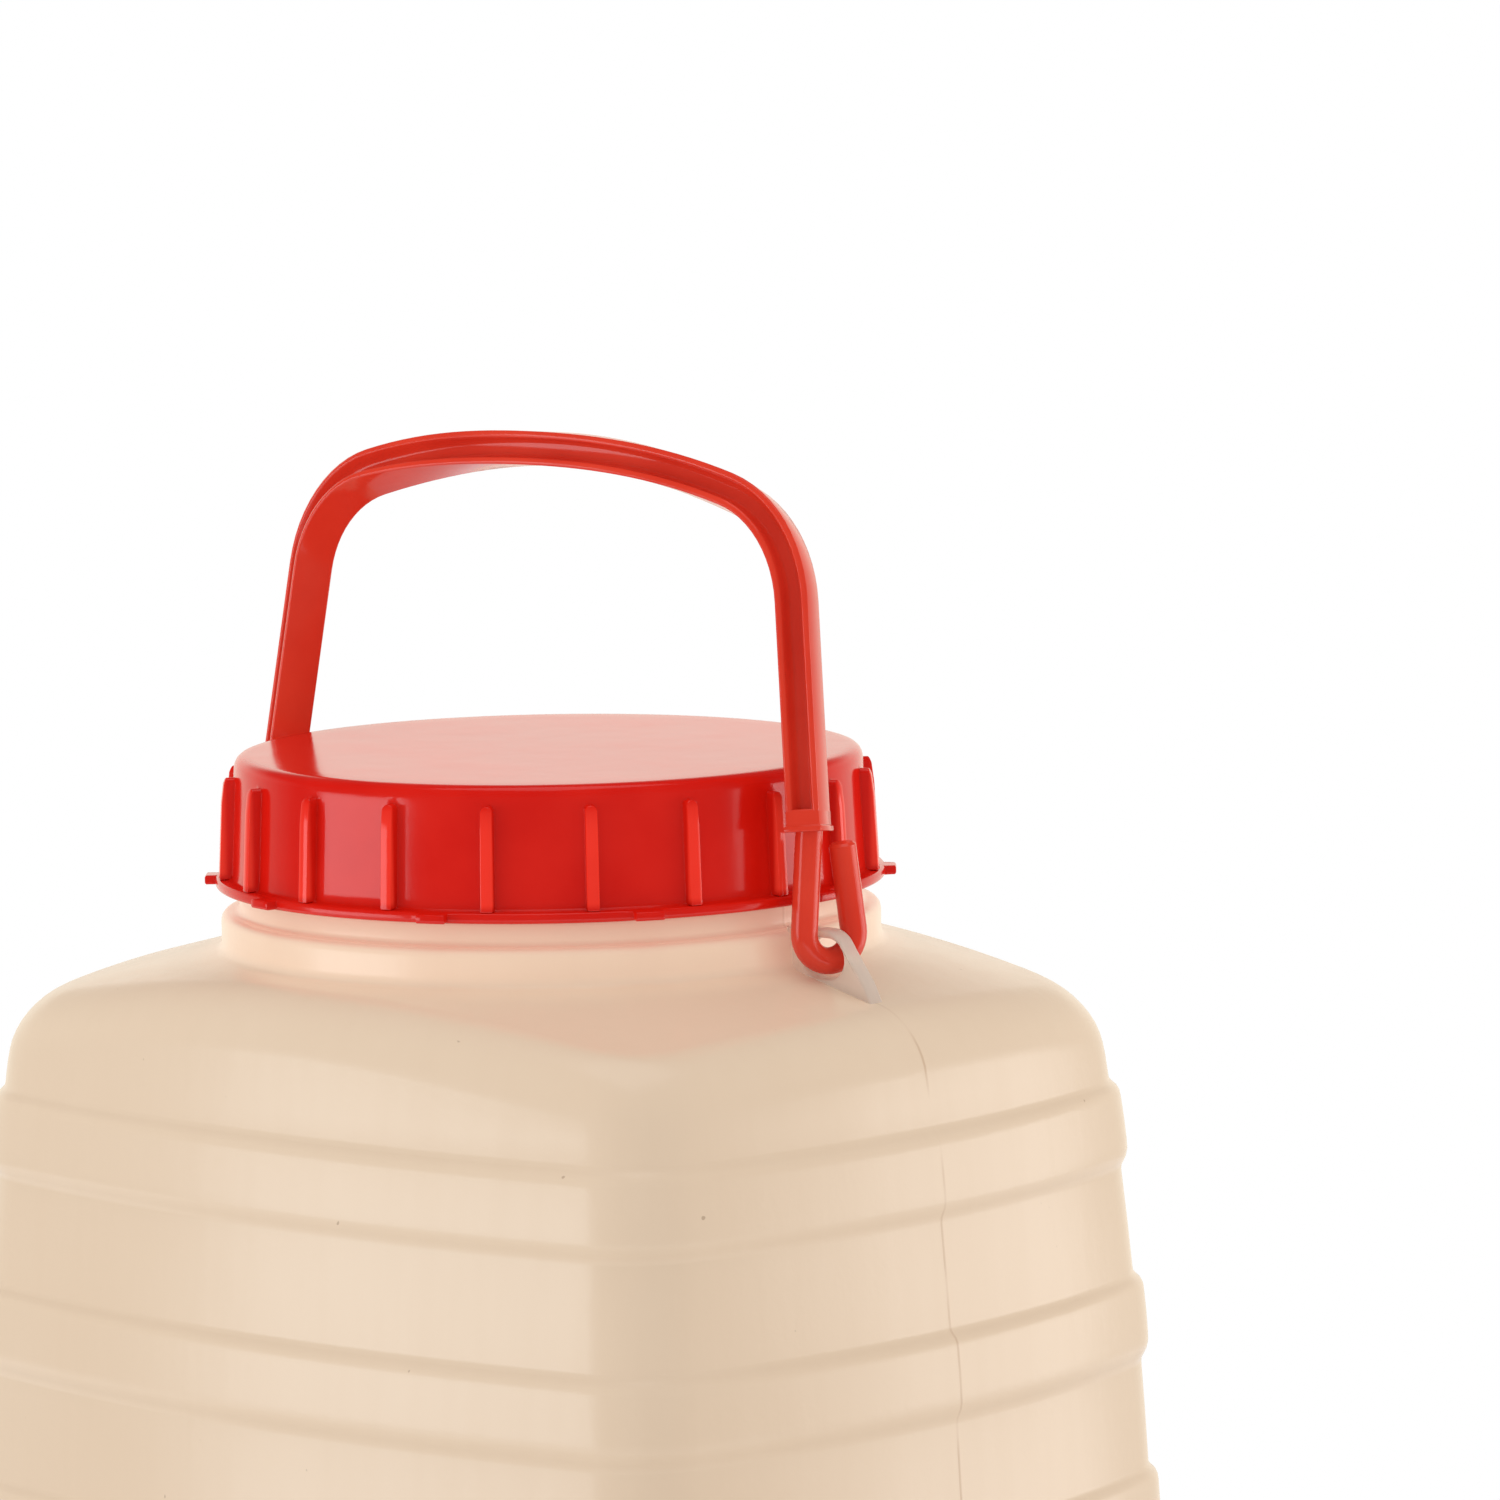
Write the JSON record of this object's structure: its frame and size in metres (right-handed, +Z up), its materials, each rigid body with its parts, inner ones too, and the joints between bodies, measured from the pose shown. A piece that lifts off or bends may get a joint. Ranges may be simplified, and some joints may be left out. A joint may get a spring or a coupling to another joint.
{
  "type": "wide-mouth drink keg with a bail handle",
  "caption": "Translucent square-shouldered plastic drink container with raised hoops, a ribbed red screw cap and a hooked red carrying bail.",
  "frame": {"origin": "middle of the flat foot, on the surface the keg stands on", "axes": "+Z up along the neck; +X through one of the two lugs that hold the bail; +Y square to it, towards the side the bail leans to"},
  "size_m": [0.199, 0.166, 0.3821],
  "materials": {
    "milky_plastic": "natural translucent polyethylene, satin",
    "red_plastic": "semi-gloss red"
  },
  "bodies": {
    "keg": {"bottle": "milky_plastic", "cap": "red_plastic"},
    "bail": {"bail": "red_plastic"}
  },
  "joints": [
    {"name": "bail_swing", "type": "hinge", "parent": "keg", "child": "bail", "pos_m": [0, 0, 0.2954], "axis": [1, 0, 0], "range_deg": [-95, 90]}
  ]
}
